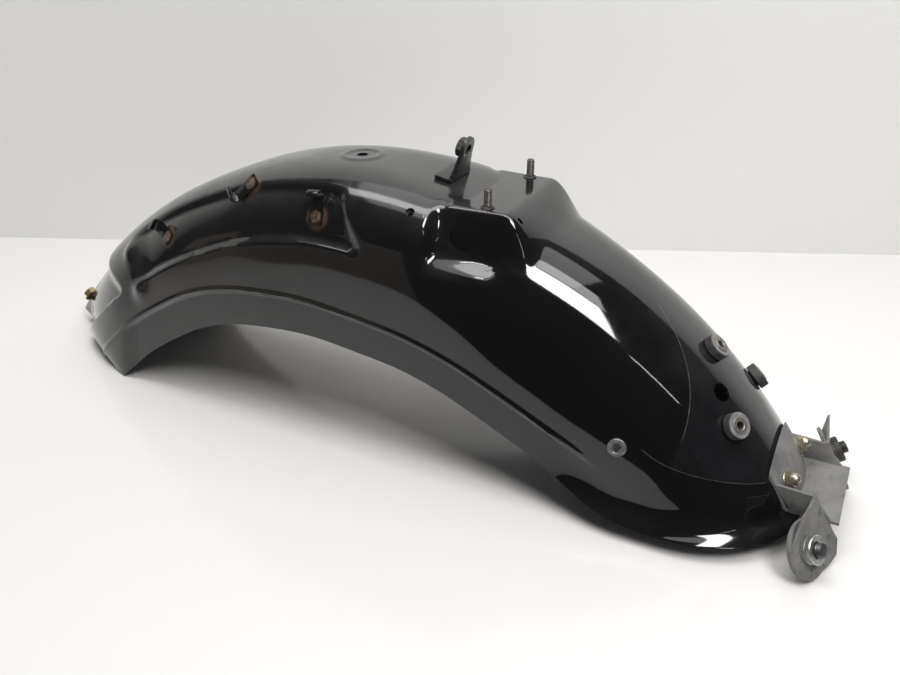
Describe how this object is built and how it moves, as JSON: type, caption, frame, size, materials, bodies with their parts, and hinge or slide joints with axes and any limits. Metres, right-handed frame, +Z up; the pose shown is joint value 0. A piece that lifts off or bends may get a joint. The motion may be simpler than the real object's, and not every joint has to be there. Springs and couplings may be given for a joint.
{
  "type": "motorcycle rear mudguard",
  "caption": "Pressed steel rear mudguard with a rounded tail, wire clips, a stud platform, lamp mountings and a bolted tail bracket.",
  "frame": {"origin": "bottom centre of the part's bounding box, on the floor it stands on", "axes": "+X towards the tail, +Y to the rider's right, +Z up, with the front corners and the bracket wings on the floor"},
  "size_m": [0.7144, 0.177, 0.2421],
  "materials": {
    "black_paint": "gloss black paint, duller and dusty towards the front",
    "stud_steel": "tarnished thread",
    "tab_paint": "satin black, worn",
    "clip_paint": "satin black with rust at the welds",
    "dark_steel": "dark oxidised steel",
    "grommet_rubber": "matt rubber",
    "sleeve_steel": "dull zinc",
    "insert_metal": "dark ring with a light centre",
    "bracket_paint": "weathered grey, textured",
    "nickel_nut": "tarnished nickel over brass",
    "bolt_steel": "dark steel",
    "collar_aluminium": "plain aluminium",
    "yellow_zinc": "yellow zinc, dirty"
  },
  "bodies": {
    "root": {"mudguard_shell": "black_paint", "stud_left": "stud_steel", "stud_right": "stud_steel", "seat_tab": "tab_paint", "seat_tab_nut": "dark_steel", "wire_clip_front": "clip_paint", "wire_clip_middle": "clip_paint", "wire_clip_rear": "clip_paint", "pad_nut_left": "dark_steel", "pad_nut_right": "dark_steel", "lamp_grommet_top": "grommet_rubber", "lamp_grommet_left": "grommet_rubber", "lamp_grommet_right": "grommet_rubber", "lamp_sleeve_top": "sleeve_steel", "lamp_sleeve_left": "sleeve_steel", "lamp_sleeve_right": "sleeve_steel", "side_insert_left": "insert_metal", "side_insert_right": "insert_metal", "tail_bracket": "bracket_paint", "cap_nut_left": "nickel_nut", "cap_nut_right": "nickel_nut", "cap_stud_left": "dark_steel", "cap_stud_right": "dark_steel", "wing_bolt_left": "bolt_steel", "wing_bolt_right": "bolt_steel", "wing_collar_left": "collar_aluminium", "wing_collar_right": "collar_aluminium", "wing_nut_left": "dark_steel", "wing_nut_right": "dark_steel", "front_bolt": "yellow_zinc", "front_nut": "dark_steel"}
  },
  "joints": []
}
